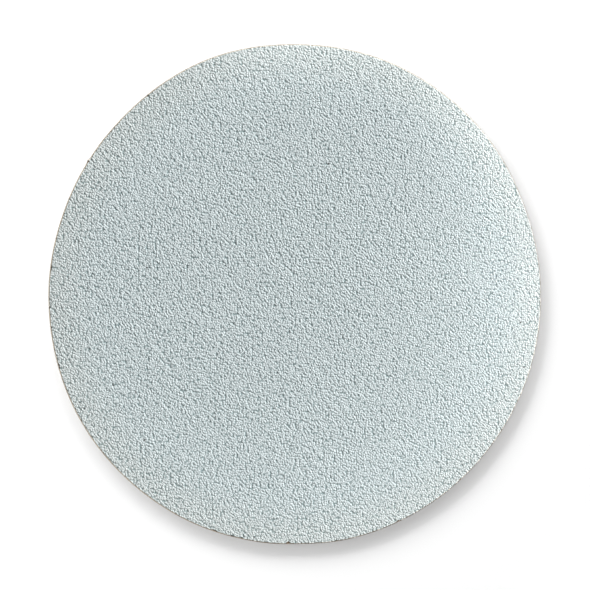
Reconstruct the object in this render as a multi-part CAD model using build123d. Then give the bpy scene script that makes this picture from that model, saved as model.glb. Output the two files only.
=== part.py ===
from build123d import *
import math
import os

# Hook and loop sanding disc, 125 mm size with no dust holes.
# It lies loop side down, as it comes to rest, with the grit side up.
# Origin: centre of the loop face. +Z points out through the grit face. Millimetres.

# Driving dimensions
DISC_DIAMETER = 125.0
LOOP_THICKNESS = 0.90
PAPER_THICKNESS = 0.25
COAT_THICKNESS = 0.35

# The die cuts all three layers at once. The brittle coat breaks back from
# that cut, and the soft loop fabric is pinched in at its lower edge.
COAT_SETBACK = 0.12
COAT_EDGE_BREAK = 0.10
LOOP_EDGE_RADIUS = 0.30

# Places where the coat is chipped off the rim and the paper shows:
# angle from +X in degrees, width along the rim, depth in from the rim.
RIM_CHIPS = [
    (47.2, 0.5, 0.22),
    (87.6, 0.5, 0.22),
    (128.3, 0.8, 0.30),
    (161.5, 0.5, 0.20),
    (173.9, 1.6, 0.28),
    (187.3, 0.6, 0.25),
    (196.0, 2.0, 0.28),
    (249.3, 2.2, 0.30),
    (255.9, 0.6, 0.30),
    (261.4, 0.5, 0.28),
    (266.8, 1.3, 0.52),
    (278.2, 1.2, 0.28),
    (283.9, 0.5, 0.35),
    (293.5, 1.7, 0.30),
    (311.1, 0.9, 0.28),
    (326.4, 0.5, 0.22),
]

disc_radius = DISC_DIAMETER / 2
coat_radius = disc_radius - COAT_SETBACK
paper_bottom = LOOP_THICKNESS
coat_bottom = paper_bottom + PAPER_THICKNESS


def round_layer(radius, thickness, bottom):
    """One layer of the laminate: a flat round sheet with its lower face at the given height."""
    upright = (Align.CENTER, Align.CENTER, Align.MIN)
    return Pos(0, 0, bottom) * Cylinder(radius, thickness, align=upright)


def loop_backing():
    """The loop fabric, cut to the full disc and rounded where its lower edge is pinched."""
    fabric = round_layer(disc_radius, LOOP_THICKNESS, 0)
    lower_edge = fabric.edges().sort_by(Axis.Z)[0]
    return fillet(lower_edge, LOOP_EDGE_RADIUS)


def backing_paper():
    """The heavy paper that carries the coat, cut square through."""
    return round_layer(disc_radius, PAPER_THICKNESS, paper_bottom)


def rim_chip(angle, width, depth):
    """The scallop that a chip leaves: part of an upright round cutter, twice as tall as the coat."""
    cutter_radius = (width**2 / 4 + depth**2) / (2 * depth)
    reach = coat_radius - depth + cutter_radius
    cutter = round_layer(cutter_radius, 2 * COAT_THICKNESS, coat_bottom)
    x = reach * math.cos(math.radians(angle))
    y = reach * math.sin(math.radians(angle))
    return Pos(x, y, 0) * cutter


def abrasive_coat():
    """The bonded grit with its pale top coat, set back from the cut and chipped along its broken edge."""
    coat = round_layer(coat_radius, COAT_THICKNESS, coat_bottom)
    upper_edge = coat.edges().sort_by(Axis.Z)[-1]
    coat = chamfer(upper_edge, COAT_EDGE_BREAK)
    for angle, width, depth in RIM_CHIPS:
        coat -= rim_chip(angle, width, depth)
    return coat


os.makedirs("parts", exist_ok=True)
export_step(loop_backing(), "parts/loop_backing.step")
export_step(backing_paper(), "parts/backing_paper.step")
export_step(abrasive_coat(), "parts/abrasive_coat.step")
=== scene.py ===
# %% [markdown]
# A hook and loop sanding disc, as a lesson in modelling.
# The real disc is a laminate that is die-cut in one stroke: bonded grit under a pale top coat, a tan
# paper, and a knit loop fabric that grips the hooks of a sander's pad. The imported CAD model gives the
# size and place of each layer, so it is loaded first and everything here is measured from it. Lengths
# are in metres.

import math

import bpy
import numpy as np
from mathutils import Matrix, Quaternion, Vector


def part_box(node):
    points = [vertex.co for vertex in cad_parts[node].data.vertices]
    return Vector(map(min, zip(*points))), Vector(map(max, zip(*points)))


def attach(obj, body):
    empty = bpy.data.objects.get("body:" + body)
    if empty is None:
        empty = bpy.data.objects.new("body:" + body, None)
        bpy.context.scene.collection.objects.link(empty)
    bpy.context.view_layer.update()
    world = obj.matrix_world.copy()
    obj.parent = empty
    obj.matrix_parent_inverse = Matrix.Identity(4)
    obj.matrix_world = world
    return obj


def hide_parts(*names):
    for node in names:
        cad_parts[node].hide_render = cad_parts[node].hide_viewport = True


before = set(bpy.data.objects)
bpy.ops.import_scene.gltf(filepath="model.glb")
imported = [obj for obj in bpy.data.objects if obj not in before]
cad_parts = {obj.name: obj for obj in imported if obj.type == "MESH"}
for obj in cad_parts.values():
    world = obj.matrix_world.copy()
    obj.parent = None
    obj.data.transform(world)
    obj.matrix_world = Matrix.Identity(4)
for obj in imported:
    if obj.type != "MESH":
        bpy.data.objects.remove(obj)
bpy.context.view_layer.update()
MM = 0.001


def in_mm(lengths):
    """Lengths in millimetres, short enough to print."""
    return [round(float(length) / MM, 3) for length in lengths]


# %% Sizes that the layers give
coat_low, coat_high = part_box("abrasive_coat")
paper_low, paper_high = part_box("backing_paper")
loop_low, loop_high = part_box("loop_backing")
coat_radius = coat_high.x
disc_radius = paper_high.x
coat_thickness = coat_high.z - coat_low.z
print("coat radius and thickness in mm:", in_mm((coat_radius, coat_thickness)))
print("disc radius in mm:", in_mm([disc_radius]))

# %% [markdown]
# The render shows small differences of pale grey against pure white, so the plain Standard view is
# used: it maps light to colour with no film curve. Whatever reaches full white stays white, as on an
# overexposed studio table.

# %% Colour management
scene = bpy.context.scene
scene.view_settings.view_transform = "Standard"
scene.view_settings.look = "None"
scene.view_settings.exposure = 0.0
scene.view_settings.gamma = 1.0
print("view transform:", scene.view_settings.view_transform)

# %% [markdown]
# Operators work on what is selected, and which of them work depends on the mode. Small helpers keep
# that tidy: they clear the selection, choose one piece, open it in edit mode, and find its open rim.


# %% Helpers for selecting
def select_alone(piece):
    """Only this piece is selected, or nothing if it is None, in object mode."""
    if bpy.context.object and bpy.context.object.mode != "OBJECT":
        bpy.ops.object.mode_set(mode="OBJECT")
    bpy.ops.object.select_all(action="DESELECT")
    if piece:
        piece.select_set(True)
        bpy.context.view_layer.objects.active = piece


def edit_alone(piece):
    """Only this piece is open in edit mode, with nothing selected in it."""
    select_alone(piece)
    bpy.ops.object.mode_set(mode="EDIT")
    bpy.ops.mesh.select_mode(type="EDGE")
    bpy.ops.mesh.select_all(action="DESELECT")


def select_open_edges():
    """In edit mode, selects the open rim of the mesh and nothing else."""
    bpy.ops.mesh.select_all(action="DESELECT")
    bpy.ops.mesh.select_non_manifold(
        use_wire=False, use_multi_face=False, use_non_contiguous=False, use_verts=False
    )


# %% Helpers for the points of a mesh
def points_of(piece):
    """The vertices as an array of rows x, y, z."""
    flat = np.empty(3 * len(piece.data.vertices))
    piece.data.vertices.foreach_get("co", flat)
    return flat.reshape(-1, 3)


def put_points(piece, points):
    """Writes the vertices back."""
    piece.data.vertices.foreach_set("co", points.astype(np.float32).ravel())
    piece.data.update()


def polar_of(points):
    """How far each point is from the axis, and its angle from +X in radians."""
    return np.hypot(points[:, 0], points[:, 1]), np.arctan2(points[:, 1], points[:, 0])


def mark_points(piece, name, numbers):
    """Keeps one number for each point on the mesh, which the piece's material can read."""
    attribute = piece.data.attributes.new(name, "FLOAT", "POINT")
    attribute.data.foreach_set("value", numbers.astype(np.float32))


def triangles_of(piece):
    """How many triangles the mesh makes."""
    return sum(len(face.vertices) - 2 for face in piece.data.polygons)


# %% [markdown]
# A round sheet that is to be embossed needs even triangles all over. A filled circle has long slivers,
# and a polar grid crowds at its centre. A hexagon of six triangles can be subdivided evenly, and each
# of its six-sided rings then rounded to a true circle: the triangles stay nearly equal and the rim is
# exact.

# %% An even round sheet
SIDES = 6
# Smaller than any step between points, to absorb rounding.
TINY = 1e-7


def round_sheet(name, cuts, radius, height):
    """A flat round sheet; each number in cuts divides every edge again into that many lengths."""
    select_alone(None)
    bpy.ops.mesh.primitive_circle_add(
        vertices=SIDES, radius=radius, fill_type="TRIFAN", location=(0, 0, height)
    )
    sheet = bpy.context.object
    sheet.name = sheet.data.name = name
    bpy.ops.object.transform_apply(location=True, rotation=False, scale=False)
    corner = max((v.co for v in sheet.data.vertices), key=lambda co: co.xy.length)
    first_angle = math.atan2(corner.y, corner.x)
    bpy.ops.object.mode_set(mode="EDIT")
    bpy.ops.mesh.select_all(action="SELECT")
    for lengths in cuts:
        bpy.ops.mesh.subdivide(number_cuts=lengths - 1)
    bpy.ops.object.mode_set(mode="OBJECT")
    round_off(sheet, first_angle)
    return sheet


def round_off(sheet, first_angle):
    """Moves the points of each six-sided ring onto the circle through its corners."""
    points = points_of(sheet)
    length, angle = polar_of(points)
    turn = 2 * math.pi / SIDES
    from_first = (angle - first_angle) % (2 * math.pi)
    sector = np.floor(from_first / turn + TINY)
    inner = from_first - sector * turn
    along = length * np.sin(inner) / math.sin(turn)
    before = length * np.sin(turn - inner) / math.sin(turn)
    ring = along + before
    share = np.divide(along, ring, out=np.zeros_like(ring), where=ring > TINY)
    rounded = first_angle + turn * (sector + share)
    points[:, 0] = ring * np.cos(rounded)
    points[:, 1] = ring * np.sin(rounded)
    put_points(sheet, points)


# %% [markdown]
# The sheet grows from its open rim. Extruding the rim and scaling the new points out adds a ring, and
# extruding it downwards makes the side wall. One face with many sides closes it below, which is enough
# for a side that stays flat.


# %% Rings and walls for a sheet
def add_rings(sheet, radii, height):
    """Grows the open rim out to each radius in turn, at this height."""
    edit_alone(sheet)
    for radius in radii:
        select_open_edges()
        bpy.ops.mesh.extrude_region_move()
        bpy.ops.object.mode_set(mode="OBJECT")
        grown = np.array([v.select for v in sheet.data.vertices])
        points = points_of(sheet)
        scale = radius / np.hypot(points[grown, 0], points[grown, 1])
        points[grown, 0] *= scale
        points[grown, 1] *= scale
        points[grown, 2] = height
        put_points(sheet, points)
        bpy.ops.object.mode_set(mode="EDIT")
    bpy.ops.object.mode_set(mode="OBJECT")


def close_below(sheet, depths):
    """Drops a wall from the open rim through each depth and closes it with a floor."""
    edit_alone(sheet)
    for depth in depths:
        select_open_edges()
        bpy.ops.mesh.extrude_region_move(TRANSFORM_OT_translate={"value": (0, 0, -depth)})
    select_open_edges()
    bpy.ops.mesh.edge_face_add()
    bpy.ops.mesh.select_all(action="SELECT")
    bpy.ops.mesh.normals_make_consistent(inside=False)
    bpy.ops.object.mode_set(mode="OBJECT")


# %% [markdown]
# A disc that was stamped from a wide web and has since taken up some damp is no longer a true circle.
# Its outline swells by a quarter of a millimetre on one side and draws in by more than a third on
# another. All the layers were cut by one stroke, so all of them follow the same outline. It is given by
# the places where it turns from swelling to drawing in and back, as degrees from +X and millimetres of
# swelling, and it runs smoothly from each of them to the next.

# %% The outline of the cut
OUTLINE_TURNS = [
    (0, -0.12), (20, -0.22), (40, 0.18), (70, 0.24), (90, -0.04), (110, 0.26), (140, -0.35), (160, -0.33),
    (180, -0.03), (210, 0.25), (240, 0.04), (260, -0.20), (270, -0.40), (280, -0.12), (320, -0.12),
    (340, -0.03),
]


def follow_cut(piece):
    """Stretches the piece out or in so that its rim follows the outline."""
    points = points_of(piece)
    radius, angle = polar_of(points)
    degrees = np.degrees(angle) % 360
    turns = np.array([*OUTLINE_TURNS, (360, OUTLINE_TURNS[0][1])])
    before = np.searchsorted(turns[:, 0], degrees, side="right") - 1
    before = np.clip(before, 0, len(OUTLINE_TURNS) - 1)
    share = (degrees - turns[before, 0]) / (turns[before + 1, 0] - turns[before, 0])
    share = share * share * (3 - 2 * share)
    swelling = turns[before, 1] * (1 - share) + turns[before + 1, 1] * share
    points[:, :2] *= (1 + swelling * MM / disc_radius)[:, None]
    put_points(piece, points)


swellings = [swelling for degrees, swelling in OUTLINE_TURNS]
print("outline departs from the circle by", min(swellings), "to", max(swellings), "mm")

# %% [markdown]
# The grit face. On the real disc each grain is bedded in resin and covered by a pale, soft coat, so the
# face reads as low rounded bumps with small pits between them. The sheet for it is fine enough to be
# embossed for real. Its rim needs finer steps still, for the chips there are half a millimetre across,
# so the rim's edges are split before the last rings are added.

# %% The grit face as an even sheet with a closed edge
COAT_CUTS = (15, 10)
EDGE_SPLIT = 4
EDGE_BAND = 0.48 * MM
EDGE_STEPS = 4
EDGE_BREAK = 0.10 * MM

band_radii = [coat_radius - EDGE_BAND * (1 - step / EDGE_STEPS) for step in range(1, EDGE_STEPS + 1)]
grit_coat = round_sheet("grit_coat", COAT_CUTS, coat_radius - EDGE_BAND, coat_high.z)
edit_alone(grit_coat)
select_open_edges()
bpy.ops.mesh.subdivide(number_cuts=EDGE_SPLIT - 1)
bpy.ops.object.mode_set(mode="OBJECT")
add_rings(grit_coat, band_radii[:-1], coat_high.z)
add_rings(grit_coat, band_radii[-1:], coat_high.z - EDGE_BREAK)
close_below(grit_coat, [(coat_thickness - EDGE_BREAK) / 2] * 2)
print("grit face:", triangles_of(grit_coat), "triangles")

# %% [markdown]
# A Displace modifier pushes points along one axis by a texture, and a vertex group says how strongly
# each point follows. Cloud textures give rounded lumps of one size, much as grains under a coat do, and
# they repeat the same way each run.


# %% Helpers for embossing
def cloud(name, size):
    """A soft cloud texture whose lumps are about this size."""
    texture = bpy.data.textures.new(name, "CLOUDS")
    texture.noise_basis = "IMPROVED_PERLIN"
    texture.noise_type = "SOFT_NOISE"
    texture.noise_depth = 0
    texture.noise_scale = size
    return texture


def weight_points(piece, name, weights):
    """A vertex group with one weight for each point."""
    group = piece.vertex_groups.new(name=name)
    rounded = np.round(weights, 2)
    for step in np.unique(rounded):
        group.add(np.nonzero(rounded == step)[0].tolist(), float(step), "REPLACE")
    return group


def displace(piece, texture, strength, direction, group):
    """A Displace modifier that reads its texture in the piece's own coordinates."""
    modifier = piece.modifiers.new(texture.name, "DISPLACE")
    modifier.texture = texture
    modifier.texture_coords = "LOCAL"
    modifier.direction = direction
    modifier.strength = strength
    modifier.vertex_group = group.name


def apply_modifiers(piece):
    """Applies the modifiers from the top of the stack down."""
    select_alone(piece)
    for modifier in list(piece.modifiers):
        bpy.ops.object.modifier_apply(modifier=modifier.name)


# %% [markdown]
# Two sizes of lumps make the relief, the broad ones a little over a millimetre across and the fine ones
# three quarters of one. It fades towards the rim, where the coat was pressed by the die. The highest
# points are then set at the top of the CAD layer. The finest grain is left to the material.

# %% The relief of the coat
BROAD_LUMP = 1.20 * MM
FINE_LUMP = 0.75 * MM
BROAD_HEIGHT = 0.158 * MM
FINE_HEIGHT = 0.164 * MM
EDGE_FADE = 0.5 * MM
EDGE_RELIEF = 0.25
TOP_PERCENT = 99.5

points = points_of(grit_coat)
radius, angle = polar_of(points)
on_top = points[:, 2] > coat_high.z - 0.5 * EDGE_BREAK
fading = np.clip((coat_radius - radius) / EDGE_FADE, EDGE_RELIEF, 1)
relief = weight_points(grit_coat, "relief", fading * on_top)
displace(grit_coat, cloud("broad_lumps", BROAD_LUMP), BROAD_HEIGHT, "Z", relief)
displace(grit_coat, cloud("fine_lumps", FINE_LUMP), FINE_HEIGHT, "Z", relief)
apply_modifiers(grit_coat)
points = points_of(grit_coat)
top_heights = points[on_top, 2]
points[on_top, 2] -= max(0.0, np.percentile(top_heights, TOP_PERCENT) - coat_high.z)
put_points(grit_coat, points)
print("relief from low to high in mm:", in_mm(np.percentile(top_heights, [1, 99]) - coat_high.z))

# %% [markdown]
# Wear at the rim. The die breaks the brittle coat along the cut, so its edge is set back a little and
# wavers by up to about a tenth of a millimetre: a few sine waves with seeded strengths and starts give
# that. At one place a flake of coat stands out past the cut.

# %% The wavering edge
EDGE_LOSS = 0.06 * MM
EDGE_WAVER = 0.03 * MM
WAVES_ROUND = (61, 113, 187, 311, 431, 587)
EDGE_SEED = 7
FLAKE_ANGLE = math.radians(148.4)
FLAKE_HALF = 1.0 * MM
FLAKE_OUT = 0.38 * MM

points = points_of(grit_coat)
radius, angle = polar_of(points)
waver = np.zeros_like(angle)
rng = np.random.default_rng(EDGE_SEED)
for waves in WAVES_ROUND:
    waver += rng.uniform(0.5, 1) * np.sin(waves * angle + rng.uniform(0, 2 * math.pi))
near_rim = np.clip(1 - (coat_radius - radius) / EDGE_BAND, 0, 1)
radius -= near_rim * (EDGE_LOSS + EDGE_WAVER * waver)
from_flake = (angle - FLAKE_ANGLE) * coat_radius / FLAKE_HALF
radius += near_rim * FLAKE_OUT * np.clip(1 - from_flake**2, 0, 1) ** 2
print("edge wavers by up to", in_mm([EDGE_WAVER * np.abs(waver).max()]), "mm")

# %% [markdown]
# Handling chips the edge further, into small scallops where only a thin rest of brown resin is left on
# the paper. Their places follow the photograph: degrees from +X, width along the rim and depth, in
# millimetres. Points inside a scallop sink to the resin. Each point also keeps its distance from the
# axis, which tells the material where the rim is, whatever the outline does.

# %% Chips along the rim
RIM_CHIPS = [
    (27.2, 0.4, 0.18), (32.8, 0.4, 0.18), (47.2, 0.5, 0.22), (61.4, 0.3, 0.16), (87.6, 0.5, 0.22),
    (111.5, 0.4, 0.16), (120.4, 0.4, 0.16), (125.3, 0.4, 0.16), (128.3, 0.8, 0.30), (139.9, 0.6, 0.25),
    (145.4, 0.5, 0.25), (148.4, 0.4, 0.20), (161.5, 0.5, 0.20), (165.9, 0.4, 0.18), (167.4, 0.4, 0.20),
    (173.9, 1.6, 0.28), (182.9, 0.5, 0.20), (187.3, 0.6, 0.25), (192.6, 0.5, 0.18), (196.0, 2.0, 0.28),
    (206.3, 0.5, 0.20), (209.2, 0.5, 0.20), (218.0, 0.5, 0.20), (232.7, 0.4, 0.20), (239.6, 0.5, 0.20),
    (249.3, 2.2, 0.30), (253.5, 0.4, 0.25), (255.9, 0.6, 0.30), (261.4, 0.5, 0.28), (266.8, 1.3, 0.52),
    (269.9, 0.5, 0.25), (273.4, 0.5, 0.25), (278.2, 1.2, 0.28), (283.9, 0.5, 0.35), (287.0, 0.5, 0.25),
    (293.5, 1.7, 0.30), (300.6, 0.5, 0.25), (303.7, 0.4, 0.22), (311.1, 0.9, 0.28), (323.1, 0.4, 0.22),
    (326.4, 0.5, 0.22),
]
RESIN_LEFT = 0.04 * MM

chip_floor = coat_low.z + RESIN_LEFT
for degrees, width, depth in RIM_CHIPS:
    turned = (angle - math.radians(degrees) + math.pi) % (2 * math.pi) - math.pi
    across = 2 * turned * coat_radius / (width * MM)
    bite = coat_radius - depth * MM * np.clip(1 - across**2, 0, 1)
    inside = (np.abs(across) < 1) & (radius > bite) & (points[:, 2] > chip_floor)
    points[inside, 2] = chip_floor
points[:, 0] = radius * np.cos(angle)
points[:, 1] = radius * np.sin(angle)
put_points(grit_coat, points)
mark_points(grit_coat, "reach", radius)
follow_cut(grit_coat)
grit_coat.data.shade_smooth()
print(len(RIM_CHIPS), "chips along the rim")

# %% [markdown]
# A few pinholes in the face, where the coat left a bubble or lost a grain. Each is one sunk point,
# given by its place in millimetres, and a mark on that point lets the material paint shade into it.

# %% Pinholes
PINHOLES = [
    (10.1, 53.8), (57.6, -18.6), (-39.0, -35.6), (-38.6, 6.5), (56.9, -7.2), (-41.2, -23.8), (22.9, 56.7),
    (-12.1, -60.0), (-55.2, -26.1), (-53.9, -27.7), (-46.9, -22.0), (-26.2, 51.1), (6.8, 32.8),
]
PINHOLE_DEPTH = 0.12 * MM

points = points_of(grit_coat)
pinhole = np.zeros(len(points))
below = points[:, 2] < chip_floor
for x, y in PINHOLES:
    gap = np.hypot(points[:, 0] - x * MM, points[:, 1] - y * MM)
    gap[below] = math.inf
    nearest = int(gap.argmin())
    points[nearest, 2] -= PINHOLE_DEPTH
    pinhole[nearest] = 1.0
put_points(grit_coat, points)
mark_points(grit_coat, "pinhole", pinhole)
print(int(pinhole.sum()), "pinholes")

# %% [markdown]
# The paper is stiff and cut clean. Only its edge shows, as a thin warm line that the coat doesn't quite
# reach, so it is a plain round sheet whose upper edge is broken and whose rim is slightly feathered.

# %% The backing paper
PAPER_CUTS = (12, 4)
PAPER_BAND = 0.3 * MM
PAPER_SKIN = 0.02 * MM
PAPER_FEATHER = 0.02 * MM

paper_sheet = round_sheet("paper_sheet", PAPER_CUTS, disc_radius - PAPER_BAND, paper_high.z)
add_rings(paper_sheet, [disc_radius - PAPER_SKIN], paper_high.z)
add_rings(paper_sheet, [disc_radius], paper_high.z - PAPER_SKIN)
close_below(paper_sheet, [(paper_high.z - paper_low.z - PAPER_SKIN) / 2] * 2)
points = points_of(paper_sheet)
radius, angle = polar_of(points)
rim = radius > disc_radius - 0.5 * PAPER_SKIN
rng = np.random.default_rng(EDGE_SEED + 1)
lost = rng.uniform(0, 1, rim.sum()) * PAPER_FEATHER
points[rim, :2] *= (1 - lost / disc_radius)[:, None]
put_points(paper_sheet, points)
follow_cut(paper_sheet)
print("paper:", triangles_of(paper_sheet), "triangles")

# %% [markdown]
# The back is a knit fabric: a flat ground, glued to the paper, with rows of small loops that stand on
# it. The disc lies on those loops. The ground is a thin round sheet in the upper half of the fabric's
# thickness, a little thinner than that half, and the loops' legs reach up into it.

# %% The knit ground
GROUND_CUTS = (12, 6)
GROUND_SHARE = 0.5
GROUND_BAND = 0.3 * MM
GROUND_SETBACK = 0.02 * MM
GROUND_SHORT = 0.10 * MM

ground_low = loop_high.z - GROUND_SHARE * (loop_high.z - loop_low.z)
ground_thickness = loop_high.z - ground_low - GROUND_SHORT
knit_ground = round_sheet("knit_ground", GROUND_CUTS, disc_radius - GROUND_BAND, loop_high.z)
add_rings(knit_ground, [disc_radius - GROUND_SETBACK], loop_high.z)
close_below(knit_ground, [ground_thickness])
follow_cut(knit_ground)
print("knit ground:", triangles_of(knit_ground), "triangles,", in_mm([ground_thickness]), "mm thick")

# %% [markdown]
# One loop is a thin yarn bent into an arch. A small three-sided circle is extruded up for a leg, spun
# through half a turn, and extruded back up for the other leg. It has few faces, because it is repeated
# thousands of times.

# %% One loop of the pile
YARN_RADIUS = 0.055 * MM
ARCH_RADIUS = 0.27 * MM
YARN_SIDES = 3
ARCH_STEPS = 5
LEG_SUNK = 0.12 * MM

select_alone(None)
leg_top = ground_low + LEG_SUNK
arch_height = YARN_RADIUS + ARCH_RADIUS
bpy.ops.mesh.primitive_circle_add(
    vertices=YARN_SIDES, radius=YARN_RADIUS, fill_type="NGON", location=(ARCH_RADIUS, 0, leg_top)
)
loop = bpy.context.object
loop.name = "one_loop"
bpy.ops.object.transform_apply(location=True, rotation=False, scale=False)
bpy.ops.object.mode_set(mode="EDIT")
bpy.ops.mesh.select_all(action="SELECT")
bpy.ops.mesh.extrude_region_move(TRANSFORM_OT_translate={"value": (0, 0, arch_height - leg_top)})
bpy.ops.mesh.spin(
    steps=ARCH_STEPS, angle=math.pi, center=(0, 0, arch_height), axis=(0, -1, 0), use_auto_merge=False
)
bpy.ops.mesh.extrude_region_move(TRANSFORM_OT_translate={"value": (0, 0, leg_top - arch_height)})
bpy.ops.mesh.select_all(action="SELECT")
bpy.ops.mesh.normals_make_consistent(inside=False)
bpy.ops.object.mode_set(mode="OBJECT")
print("one loop:", triangles_of(loop), "triangles, lowest at", in_mm([points_of(loop)[:, 2].min()]), "mm")

# %% [markdown]
# The loops stand in rows along the knit, so an Array modifier lays out a row and a second one lays out
# the rows. Two Displace modifiers then lean each arch its own way, more at its tip than at its root.

# %% A field of leaning loops
LOOP_PITCH = 1.02 * MM
ROW_PITCH = 0.94 * MM
LEAN = 0.9 * MM
LEAN_ACROSS = 0.80 * MM
LEAN_ALONG = 1.04 * MM
PILE_MARGIN = 0.45 * MM

pile_radius = disc_radius - PILE_MARGIN
loops_in_row = 2 * int(pile_radius / LOOP_PITCH) + 1
rows_in_pile = 2 * int(pile_radius / ROW_PITCH) + 1


def array(piece, name, count, step):
    """Copies of the mesh at equal steps."""
    modifier = piece.modifiers.new(name, "ARRAY")
    modifier.count = count
    modifier.use_relative_offset = False
    modifier.use_constant_offset = True
    modifier.constant_offset_displace = step


field = loop
points = points_of(field)
points[:, 0] -= (loops_in_row // 2) * LOOP_PITCH
points[:, 1] -= (rows_in_pile // 2) * ROW_PITCH
put_points(field, points)
array(field, "loops", loops_in_row, (LOOP_PITCH, 0, 0))
array(field, "rows", rows_in_pile, (0, ROW_PITCH, 0))
apply_modifiers(field)
lean = weight_points(field, "lean", np.clip(1 - points_of(field)[:, 2] / leg_top, 0, 1))
displace(field, cloud("lean_across", LEAN_ACROSS), LEAN, "X", lean)
displace(field, cloud("lean_along", LEAN_ALONG), LEAN, "Y", lean)
apply_modifiers(field)
print("field of", loops_in_row, "by", rows_in_pile, "loops")

# %% [markdown]
# The field is cut to the disc by deleting each loop that would reach past the rim, and into four
# quarters, so that no piece is too heavy to edit.


# %% The pile in four quarters
def keep_loops(field, name, wanted):
    """A copy of the field with only the loops that are wanted."""
    select_alone(field)
    bpy.ops.object.duplicate()
    patch = bpy.context.object
    patch.name = patch.data.name = name
    points_per_loop = len(patch.data.vertices) // len(wanted)
    patch.data.vertices.foreach_set("select", np.repeat(~wanted, points_per_loop))
    patch.data.edges.foreach_set("select", np.zeros(len(patch.data.edges), bool))
    patch.data.polygons.foreach_set("select", np.zeros(len(patch.data.polygons), bool))
    bpy.ops.object.mode_set(mode="EDIT")
    bpy.ops.mesh.select_mode(type="VERT")
    bpy.ops.mesh.delete(type="VERT")
    bpy.ops.object.mode_set(mode="OBJECT")
    patch.data.shade_smooth()
    return patch


points = points_of(field).reshape(loops_in_row * rows_in_pile, -1, 3)
centres = points.mean(axis=1)
on_disc = np.hypot(points[..., 0], points[..., 1]).max(axis=1) < pile_radius + 0.5 * PILE_MARGIN
quarter = (centres[:, 0] > 0).astype(int) + 2 * (centres[:, 1] > 0)
loop_patches = [keep_loops(field, f"loop_pile_{k + 1}", on_disc & (quarter == k)) for k in range(4)]
bpy.data.objects.remove(field)
for patch in loop_patches:
    print(patch.name, triangles_of(patch), "triangles")

# %% [markdown]
# Materials are node trees that read the piece's own Object coordinates, in metres, so a pattern keeps
# its real size whatever the piece. One helper starts a material. The other adds a node and sets its
# inputs, where an input may be a value or another node's output.


# %% Helpers for shader nodes
def new_material(name):
    """A new node material, its tree and its Principled shader."""
    material = bpy.data.materials.new(name)
    material.use_nodes = True
    tree = material.node_tree
    return material, tree, tree.nodes["Principled BSDF"]


def add_node(tree, kind, inputs=(), **settings):
    """Adds a node; inputs is a list of pairs: the input's name or number, and a value or an output."""
    node = tree.nodes.new(kind)
    for key, value in settings.items():
        setattr(node, key, value)
    for key, value in inputs:
        if isinstance(value, bpy.types.NodeSocket):
            tree.links.new(value, node.inputs[key])
        else:
            node.inputs[key].default_value = value
    return node


# %% [markdown]
# A few kinds of node come up again and again. These helpers give them short names, so that a material
# below reads as its idea and not as a list of sockets.


# %% Short names for the common nodes
def object_place(tree):
    """Where a point lies in the piece's own coordinates."""
    return add_node(tree, "ShaderNodeTexCoord").outputs["Object"]


def maths(tree, operation, *values):
    """The output of a Math node; each value is a number or an output."""
    return add_node(tree, "ShaderNodeMath", enumerate(values), operation=operation).outputs[0]


def vector_maths(tree, operation, *values):
    """A Vector Math node; each value is a vector or an output."""
    return add_node(tree, "ShaderNodeVectorMath", enumerate(values), operation=operation)


def ramp(tree, value, low, high, start=0.0, end=1.0):
    """The value taken from low..high to start..end with soft ends."""
    inputs = [("Value", value), ("From Min", low), ("From Max", high), ("To Min", start), ("To Max", end)]
    node = add_node(tree, "ShaderNodeMapRange", inputs, interpolation_type="SMOOTHSTEP")
    return node.outputs["Result"]


def noise(tree, place, size, detail=0.0, roughness=0.5):
    """Noise whose largest lumps are about this size in metres."""
    inputs = [("Vector", place), ("Scale", 1 / size), ("Detail", detail), ("Roughness", roughness)]
    return add_node(tree, "ShaderNodeTexNoise", inputs).outputs["Fac"]


def mix_colour(tree, share, first, second, blend="MIX"):
    """A blend of two colours; each is a colour or an output."""
    node = add_node(tree, "ShaderNodeMix", [("Factor", share)], data_type="RGBA", blend_type=blend)
    for socket, colour in ((node.inputs[6], first), (node.inputs[7], second)):
        if isinstance(colour, bpy.types.NodeSocket):
            tree.links.new(colour, socket)
        else:
            socket.default_value = (*colour, 1.0)
    return node.outputs[2]


def point_mark(tree, name):
    """The number that mark_points kept under this name."""
    node = add_node(tree, "ShaderNodeAttribute", attribute_name=name, attribute_type="GEOMETRY")
    return node.outputs["Fac"]


def bump_of(tree, height, strength, distance):
    """A Bump node's normal for this height."""
    inputs = [("Height", height), ("Strength", strength), ("Distance", distance)]
    return add_node(tree, "ShaderNodeBump", inputs).outputs[0]


# %% [markdown]
# The top coat is matte and pale, a grey with a little green in it. Under it lie sharp grains of about
# half a millimetre. A smooth texture of cells gives one rounded cell for each grain, bent by noise so
# that the cells don't look like tiles, and finer noise roughens them. Both go into one bump.

# %% The grain of the coat
GRAIN_SIZE = 0.52 * MM
GRAIN_SOFT = 0.1
GRAIN_SHARE = 0.28
SWAY_SIZE = 0.8 * MM
SWAY_REACH = 0.3 * MM
BUMP_LUMP = 0.50 * MM
LUMP_SHARE = 0.45
BUMP_HEIGHT = 0.63 * MM


def grain_cells(tree, place):
    """Distance from the middle of the nearest grain, in grain sizes."""
    inputs = [("Vector", place), ("Scale", 1 / SWAY_SIZE), ("Detail", 1.0)]
    sway = add_node(tree, "ShaderNodeTexNoise", inputs).outputs["Color"]
    bent = vector_maths(tree, "MULTIPLY_ADD", sway, (SWAY_REACH,) * 3, place).outputs[0]
    inputs = [("Vector", bent), ("Scale", 1 / GRAIN_SIZE), ("Smoothness", GRAIN_SOFT)]
    cells = add_node(tree, "ShaderNodeTexVoronoi", inputs, feature="SMOOTH_F1", voronoi_dimensions="2D")
    return cells.outputs["Distance"]


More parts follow.
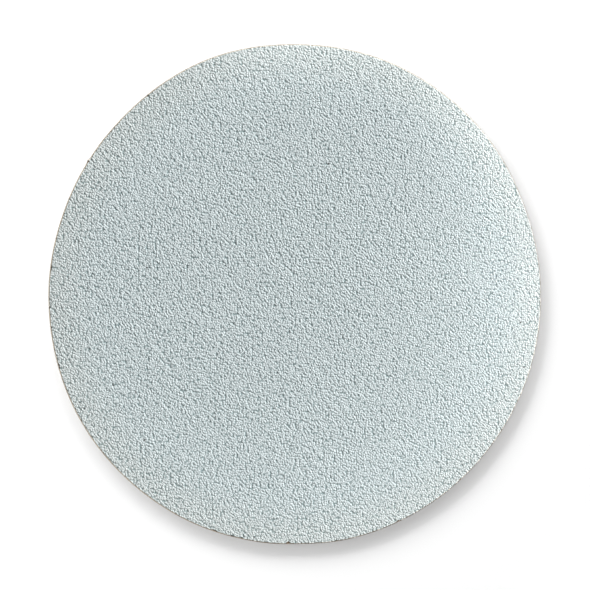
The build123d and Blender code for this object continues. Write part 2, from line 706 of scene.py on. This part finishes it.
coat_material, tree, shader = new_material("pale_top_coat")
place = object_place(tree)
lumps = noise(tree, place, BUMP_LUMP, detail=2.0, roughness=0.68)
cells = grain_cells(tree, place)
grains = maths(tree, "MULTIPLY_ADD", cells, -GRAIN_SHARE, maths(tree, "MULTIPLY", lumps, LUMP_SHARE))
tree.links.new(bump_of(tree, grains, 1.0, BUMP_HEIGHT), shader.inputs["Normal"])
print("grains of", in_mm([GRAIN_SIZE]), "mm")

# %% [markdown]
# Pits between the grains are darker than the tops: partly from a thinner coat, partly painted shade.
# There are three kinds: creases round the grains, low spots of the fine noise, and the real hollows of
# the mesh. Patches where the coat is thin are darker too, but only a little.

# %% Pits with painted shade, and thin places
COAT_COLOUR = (0.539, 0.600, 0.609)
PIT_COAT_AND_SHADE_COLOUR = (0.200, 0.272, 0.278)
CREASES = (0.47, 0.73)
LUMP_PITS = (0.24, 0.44)
PIT_DEPTHS = (0.46 * MM, 0.20 * MM)
PIT_SHARE = 0.8
THIN_SIZE = 0.75 * MM
THIN_RANGE = (0.30, 0.70)
THIN_SHARE = 0.15

height = add_node(tree, "ShaderNodeSeparateXYZ", [(0, place)]).outputs[2]
low_spots = ramp(tree, lumps, *LUMP_PITS, 1.0, 0.0)
small_pits = maths(tree, "MAXIMUM", low_spots, ramp(tree, cells, *CREASES))
deep_pits = ramp(tree, height, coat_high.z - PIT_DEPTHS[0], coat_high.z - PIT_DEPTHS[1], 1.0, 0.0)
thin_places = ramp(tree, noise(tree, place, THIN_SIZE, detail=1.0), *THIN_RANGE, 0.0, THIN_SHARE)
all_pits = maths(tree, "MAXIMUM", small_pits, deep_pits)
pits = maths(tree, "MULTIPLY_ADD", all_pits, PIT_SHARE, thin_places)
# The pit colour is partly a thinner coat and partly painted shade in the pits, creases and hollows.
face_colour = mix_colour(tree, pits, COAT_COLOUR, PIT_COAT_AND_SHADE_COLOUR)
print("pits take up to", PIT_SHARE, "of the pit colour")

# %% [markdown]
# The last millimetres before the rim are a little warmer. The broken edge itself shows the inside of the
# coat, with dark spots on the side away from the light, partly resin and partly painted shade. At the
# far right the edge is darker, a painted shade. A wavering noise keeps the line between face and edge
# from looking drawn.

# %% The warmer rim and the broken edge, with painted shade
RIM_WARMTH = (1.0, 0.968, 0.945)
WARMTH_REACH = (12.0 * MM, 0.5 * MM)
EDGE_COLOUR = (0.70, 0.65, 0.56)
PAINTED_SHADE_EDGE_COLOUR = (0.46, 0.43, 0.39)
RESIN_AND_SHADE_SPOT_COLOUR = (0.28, 0.21, 0.15)
EDGE_NOISE = 0.4 * MM
EDGE_NOISE_REACH = 0.24 * MM
EDGE_START = (-0.08 * MM, 0.04 * MM)
BRIGHT_SIDE = math.radians(17)
SPOTS_END = (0.1 * coat_radius, 0.4 * coat_radius)
SPOT_SIZE = 1.1 * MM
SPOT_RANGE = (0.54, 0.62)
EDGE_SHADE_START = (0.90 * coat_radius, 0.97 * coat_radius)

reach = point_mark(tree, "reach")
# A warmer tint over the last millimetres before the rim.
warmer_rim = ramp(tree, reach, coat_radius - WARMTH_REACH[0], coat_radius - WARMTH_REACH[1])
face_colour = mix_colour(tree, warmer_rim, face_colour, RIM_WARMTH, "MULTIPLY")
wavering = maths(tree, "MULTIPLY", noise(tree, place, EDGE_NOISE, detail=2.0), EDGE_NOISE_REACH)
edge_place = maths(tree, "ADD", reach, wavering)
at_edge = ramp(tree, edge_place, coat_radius + EDGE_START[0], coat_radius + EDGE_START[1])
bright_way = (math.cos(BRIGHT_SIDE), math.sin(BRIGHT_SIDE), 0)
sideways = vector_maths(tree, "DOT_PRODUCT", place, bright_way).outputs["Value"]
# Dark spots, partly resin and partly painted shade, only on the side away from the light.
spotted_side = ramp(tree, sideways, *SPOTS_END, 1.0, 0.0)
spots = ramp(tree, noise(tree, place, SPOT_SIZE, detail=1.0), *SPOT_RANGE)
spots = maths(tree, "MULTIPLY", spots, spotted_side)
# Painted shade: a darker copy of the edge colour at the far right of the rim.
edge_colour = mix_colour(tree, ramp(tree, sideways, *EDGE_SHADE_START), EDGE_COLOUR, PAINTED_SHADE_EDGE_COLOUR)
edge_colour = mix_colour(tree, spots, edge_colour, RESIN_AND_SHADE_SPOT_COLOUR)
colour = mix_colour(tree, at_edge, face_colour, edge_colour)
print("stain reaches", in_mm(WARMTH_REACH), "mm from the rim")

# %% [markdown]
# In the chips the surface lies low and close to the rim, which tells the material to show brown resin
# there. The pinholes are nearly black, a painted shade in each hole.

# %% Chips, and the painted shade of the pinholes, in the coat's colour
RESIN_COLOUR = (0.16, 0.105, 0.065)
CHIP_REACH = (1.2 * MM, 0.8 * MM)
CHIP_DEPTHS = (0.24 * MM, 0.18 * MM)
PINHOLE_SHADE_COLOUR = (0.05, 0.05, 0.05)
PINHOLE_RANGE = (0.30, 0.62)
COAT_ROUGHNESS = 0.55
COAT_SHINE = 0.5

by_rim = ramp(tree, reach, coat_radius - CHIP_REACH[0], coat_radius - CHIP_REACH[1])
low_down = ramp(tree, height, coat_high.z - CHIP_DEPTHS[0], coat_high.z - CHIP_DEPTHS[1], 1.0, 0.0)
in_chip = maths(tree, "MULTIPLY", low_down, by_rim)
colour = mix_colour(tree, in_chip, colour, RESIN_COLOUR)
pinhole_shade = ramp(tree, point_mark(tree, "pinhole"), *PINHOLE_RANGE)
# Painted shade in each pinhole.
colour = mix_colour(tree, pinhole_shade, colour, PINHOLE_SHADE_COLOUR)
tree.links.new(colour, shader.inputs["Base Color"])
shader.inputs["Roughness"].default_value = COAT_ROUGHNESS
shader.inputs["Specular IOR Level"].default_value = COAT_SHINE
grit_coat.data.materials.append(coat_material)
print("coat material:", len(tree.nodes), "nodes")

# %% [markdown]
# The paper is tan and heavy. Its cut edge shows the fibres: short dark and pale flecks that lie along
# the sheet, so the noise is squeezed in height and stretched across.

# %% The paper's material
PAPER_COLOUR = (0.70, 0.63, 0.53)
PAPER_DARK = (0.48, 0.40, 0.30)
FIBRE_SIZE = 0.16 * MM
FIBRE_SQUEEZE = 4.0
FIBRE_RANGE = (0.35, 0.65)
FIBRE_BUMP = 0.06 * MM
FIBRE_STRENGTH = 0.6
PAPER_ROUGHNESS = 0.9
PAPER_SHINE = 0.3

paper_material, tree, shader = new_material("tan_paper")
squeezed = vector_maths(tree, "MULTIPLY", object_place(tree), (1, 1, FIBRE_SQUEEZE)).outputs[0]
fibres = noise(tree, squeezed, FIBRE_SIZE, detail=4.0, roughness=0.7)
tone = mix_colour(tree, ramp(tree, fibres, *FIBRE_RANGE), PAPER_DARK, PAPER_COLOUR)
tree.links.new(tone, shader.inputs["Base Color"])
tree.links.new(bump_of(tree, fibres, FIBRE_STRENGTH, FIBRE_BUMP), shader.inputs["Normal"])
shader.inputs["Roughness"].default_value = PAPER_ROUGHNESS
shader.inputs["Specular IOR Level"].default_value = PAPER_SHINE
paper_sheet.data.materials.append(paper_material)
print("paper material:", len(tree.nodes), "nodes")

# %% [markdown]
# The loop fabric is off-white nylon. Its ground shows the ribs of the knit, a rib for every half loop,
# with painted shade where the stitches dip. The wave texture turns by 20 radians for each unit of its
# scale, which gives the scale for a rib of known width.

# %% The stitches of the knit
WAVE_RADIANS = 20
RIB_WAVER = 1.2


def ribs_along(tree, place, width, detail, direction):
    """Soft ribs of this width that follow one another along X or Y."""
    scale = 2 * math.pi / (WAVE_RADIANS * width)
    inputs = [("Vector", place), ("Scale", scale), ("Distortion", RIB_WAVER), ("Detail", detail)]
    return add_node(tree, "ShaderNodeTexWave", inputs, bands_direction=direction).outputs["Fac"]


def stitches_of(tree, place):
    """Raised stitches where the ribs across and along the knit meet."""
    wales = ribs_along(tree, place, LOOP_PITCH / 2, 1.0, "X")
    courses = ribs_along(tree, place, ROW_PITCH / 2, 2.0, "Y")
    return maths(tree, "MULTIPLY", wales, courses)


print("ribs every", in_mm((LOOP_PITCH / 2, ROW_PITCH / 2)), "mm")

# %% [markdown]
# The yarn is a bundle of fine filaments, so it carries fine streaks and a soft sheen at grazing angles,
# and some patches are a little soiled. The ground and the loops share this finish, and the ground adds
# its stitches.

# %% The fabric's materials
YARN_COLOUR = (0.78, 0.77, 0.73)
YARN_SHADE = (0.52, 0.51, 0.47)
FILAMENT_SIZE = 0.05 * MM
FILAMENT_RANGE = (0.30, 0.55)
FILAMENT_SHADE = 0.55
FILAMENT_RELIEF = 0.25
STITCH_RANGE = (0.05, 0.40)
SOIL_COLOUR = (0.85, 0.82, 0.76)
SOIL_SIZE = 9 * MM
SOIL_RANGE = (0.45, 0.75)
SOIL_SHARE = 0.25
FABRIC_BUMP = 0.08 * MM
FABRIC_STRENGTH = 0.8
FABRIC_ROUGHNESS = 0.85
FABRIC_SHINE = 0.3
FUZZ_SHEEN = 0.35


def fabric_material(name, is_ground):
    """Off-white yarn with fine streaks, and with stitches if it is the ground's."""
    material, tree, shader = new_material(name)
    place = object_place(tree)
    streaks = noise(tree, place, FILAMENT_SIZE, detail=3.0, roughness=0.6)
    height = streaks
    shade = ramp(tree, streaks, *FILAMENT_RANGE, FILAMENT_SHADE, 0.0)
    if is_ground:
        stitches = stitches_of(tree, place)
        height = maths(tree, "MULTIPLY_ADD", streaks, FILAMENT_RELIEF, stitches)
        # Painted shade where the stitches dip.
        shade = maths(tree, "MAXIMUM", shade, ramp(tree, stitches, *STITCH_RANGE, 1.0, 0.0))
    colour = mix_colour(tree, shade, YARN_COLOUR, YARN_SHADE)
    soil = ramp(tree, noise(tree, place, SOIL_SIZE, detail=3.0), *SOIL_RANGE, 0.0, SOIL_SHARE)
    colour = mix_colour(tree, soil, colour, SOIL_COLOUR, "MULTIPLY")
    tree.links.new(colour, shader.inputs["Base Color"])
    tree.links.new(bump_of(tree, height, FABRIC_STRENGTH, FABRIC_BUMP), shader.inputs["Normal"])
    shader.inputs["Roughness"].default_value = FABRIC_ROUGHNESS
    shader.inputs["Specular IOR Level"].default_value = FABRIC_SHINE
    shader.inputs["Sheen Weight"].default_value = FUZZ_SHEEN
    print(name, len(tree.nodes), "nodes")
    return material


knit_ground.data.materials.append(fabric_material("knit_ground", is_ground=True))
yarn_material = fabric_material("loop_yarn", is_ground=False)
for patch in loop_patches:
    patch.data.materials.append(yarn_material)

# %% [markdown]
# The disc lies on a table that is pure white in the picture, apart from the soft shadow round the rim.
# Lamps light it near the disc, and it also glows: faintly there, so that the shadow stays, and fully
# further out, where the lamps fall off, so that no horizon shows. From below it is see-through, so that
# the loop side can be looked at.

# %% The floor
FLOOR_HALF = 3.0
FLOOR_DROP = 0.01 * MM
FLOOR_COLOUR = 0.80
FLOOR_GLOW = (0.20, 1.0)
GLOW_REACH = (90 * MM, 150 * MM)
WHITE = (1, 1, 1, 1)

select_alone(None)
bpy.ops.mesh.primitive_plane_add(size=2 * FLOOR_HALF, location=(0, 0, -FLOOR_DROP))
floor = bpy.context.object
floor.name = "floor"
floor_material, tree, shader = new_material("white_table")
shader.inputs["Base Color"].default_value = (FLOOR_COLOUR, FLOOR_COLOUR, FLOOR_COLOUR, 1)
shader.inputs["Roughness"].default_value = 1.0
shader.inputs["Specular IOR Level"].default_value = 0.0
shader.inputs["Emission Color"].default_value = WHITE
from_disc = vector_maths(tree, "LENGTH", object_place(tree)).outputs["Value"]
tree.links.new(ramp(tree, from_disc, *GLOW_REACH, *FLOOR_GLOW), shader.inputs["Emission Strength"])
behind = add_node(tree, "ShaderNodeNewGeometry").outputs["Backfacing"]
clear = add_node(tree, "ShaderNodeBsdfTransparent").outputs[0]
sided = add_node(tree, "ShaderNodeMixShader", [(0, behind), (1, shader.outputs[0]), (2, clear)])
tree.links.new(sided.outputs[0], tree.nodes["Material Output"].inputs["Surface"])
floor.data.materials.append(floor_material)
print("floor material:", len(tree.nodes), "nodes")

# %% [markdown]
# The room round the table is white to the camera, but it sends out only a tenth of that as light, so
# that the lamps can shape the disc.

# %% The room's glow
WORLD_GLOW = 0.10

world = bpy.data.worlds.new("studio")
scene.world = world
world.use_nodes = True
tree = world.node_tree
seen = add_node(tree, "ShaderNodeLightPath").outputs["Is Camera Ray"]
background = tree.nodes["Background"]
background.inputs["Color"].default_value = WHITE
tree.links.new(ramp(tree, seen, 0.0, 1.0, WORLD_GLOW, 1.0), background.inputs["Strength"])
print("room glows with", WORLD_GLOW)

# %% [markdown]
# The photograph was lit and then brightened so that its table is pure white while the disc keeps its
# tones. One set of lamps can't do both. Light linking gives each lamp the pieces that it lights, by a
# collection: the table, the coat, the layers under the coat, or the fabric alone.


# %% Which lamps light which pieces
def lit_together(name, pieces):
    """A collection for light linking."""
    collection = bpy.data.collections.new(name)
    for piece in pieces:
        collection.objects.link(piece)
    print(name, len(pieces), "pieces")
    return collection


fabric_pieces = [knit_ground, *loop_patches]
coat_only = lit_together("lit_by_relief_lights", [grit_coat])
layers_only = lit_together("lit_by_layer_light", [paper_sheet, *fabric_pieces])
floor_only = lit_together("lit_by_table_lights", [floor])
fabric_only = lit_together("lit_by_under_light", fabric_pieces)


# %% Helpers for lamps
def softbox(name, place, turn, width, height, power, receivers):
    """A rectangle of light for the receivers alone; it shines along its own -Z."""
    data = bpy.data.lights.new(name, "AREA")
    data.shape = "RECTANGLE"
    data.size = width
    data.size_y = height
    data.energy = power
    box = bpy.data.objects.new(name, data)
    scene.collection.objects.link(box)
    box.location = place
    box.rotation_mode = "QUATERNION"
    box.rotation_quaternion = turn
    box.visible_camera = False
    box.light_linking.receiver_collection = receivers
    return box


def studio_light(name, numbers, receivers):
    """A softbox that faces the disc, from its azimuth, elevation, distance, width, height and power."""
    azimuth, elevation, distance, *others = numbers
    turn, rise = math.radians(azimuth), math.radians(elevation)
    away = Vector((math.cos(turn) * math.cos(rise), math.sin(turn) * math.cos(rise), math.sin(rise)))
    return softbox(name, distance * away, away.to_track_quat("Z", "Y"), *others, receivers)


# %% [markdown]
# Four low softboxes and a large one overhead light the table, and the disc's shadow from them falls to
# the lower right. One light, small for its distance, rakes over the coat from the right and brings out
# its relief. A small one catches the rim, one lights the cut edges of the paper and the fabric, and a
# faint one lights the loop side from below. The table would stop that last one, so only the fabric may
# cast shadows in it.

# %% The lamps
TABLE_LIGHTS = {
    "far_left": (165, 18, 2.0, 1.1, 0.50, 15.0),
    "left": (130, 14, 2.0, 1.1, 0.50, 46.5),
    "right": (105, 14, 2.0, 1.1, 0.50, 33.5),
    "far_right": (70, 18, 2.0, 1.1, 0.50, 17.1),
    "top": (118, 90, 1.2, 6.0, 6.0, 35.0),
}
RELIEF_LIGHT = (25, 28, 3.0, 0.72, 0.72, 187.0)
RIM_LIGHT = (118, 13, 1.0, 0.30, 0.10, 2.0)
LAYER_LIGHT = (150, 42, 1.0, 0.30, 0.30, 10.0)
UNDER_LIGHT = (60, -79, 0.3, 0.03, 0.03, 0.25)

for side, numbers in TABLE_LIGHTS.items():
    studio_light("table_light_" + side, numbers, floor_only)
studio_light("relief_light", RELIEF_LIGHT, coat_only)
studio_light("rim_light", RIM_LIGHT, coat_only)
studio_light("layer_light", LAYER_LIGHT, layers_only)
under_light = studio_light("under_light", UNDER_LIGHT, fabric_only)
under_light.light_linking.blocker_collection = fabric_only
print(len(TABLE_LIGHTS), "table lights and four others")

# %% [markdown]
# The face is brighter towards the rim, most of all on the right and below, where the real one seems to
# have caught light from reflectors beside it. Narrow strips a few centimetres above the rim give that
# and leave the middle as it is. Each is given by its azimuth, its distance from the axis and its height
# in millimetres, then its width and length in metres and its power.

# %% Strips beside the rim
STRIP_SPREAD = math.radians(120)
EDGE_STRIPS = {
    "right": (4, 90, 50, 0.010, 0.080, 0.0195),
    "upper": (44, 75, 20, 0.008, 0.050, 0.0040),
    "back": (88, 77, 22, 0.010, 0.070, 0.0062),
    "back_left": (140, 95, 60, 0.010, 0.080, 0.0029),
    "low_right": (-50, 95, 62, 0.010, 0.080, 0.0110),
    "front": (265, 100, 70, 0.010, 0.080, 0.0070),
    "left": (215, 95, 60, 0.010, 0.080, 0.0052),
}

for side, numbers in EDGE_STRIPS.items():
    azimuth, away, above, *others = numbers
    turn = math.radians(azimuth)
    place = Vector((away * math.cos(turn), away * math.sin(turn), above)) * MM
    strip = softbox(side + "_strip", place, Quaternion((0, 0, 1), turn), *others, coat_only)
    strip.data.spread = STRIP_SPREAD
print(len(EDGE_STRIPS), "strips beside the rim")

# %% [markdown]
# The photograph looks down on the disc with a slight tilt, from the left, so that its outline is an
# ellipse. The tilt follows from how much narrower than tall the outline is. The distance and the lens
# together give the disc its size in the picture.

# %% The camera
TILT = math.radians(10.43)
DISTANCE = 411.5 * MM
LENS = 100.71
AIM = Vector((-1.598, -0.038, 0.75)) * MM

camera_data = bpy.data.cameras.new("camera")
camera = bpy.data.objects.new("camera", camera_data)
scene.collection.objects.link(camera)
camera_data.lens = LENS
camera_data.clip_start = 0.01
camera_data.clip_end = 50
camera.location = AIM + DISTANCE * Vector((-math.sin(TILT), 0, math.cos(TILT)))
camera.rotation_euler = (0, -TILT, 0)
scene.camera = camera
print("camera at", in_mm(camera.location), "mm")

# %% [markdown]
# Each piece rides on a body, and the CAD layers that the pieces stand for are hidden. The disc has no
# joints, so all of them ride on the root. The fabric is a sheet that was cut flat to the disc's circle
# and is held stretched on the paper, with its loops.

# %% Finish
for piece, node, slot in (
    (grit_coat, "abrasive_coat", "coat"),
    (paper_sheet, "backing_paper", "paper"),
    (knit_ground, "loop_backing", "loop"),
):
    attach(piece, "root")
    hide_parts(node)
for patch in loop_patches:
    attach(patch, "root")
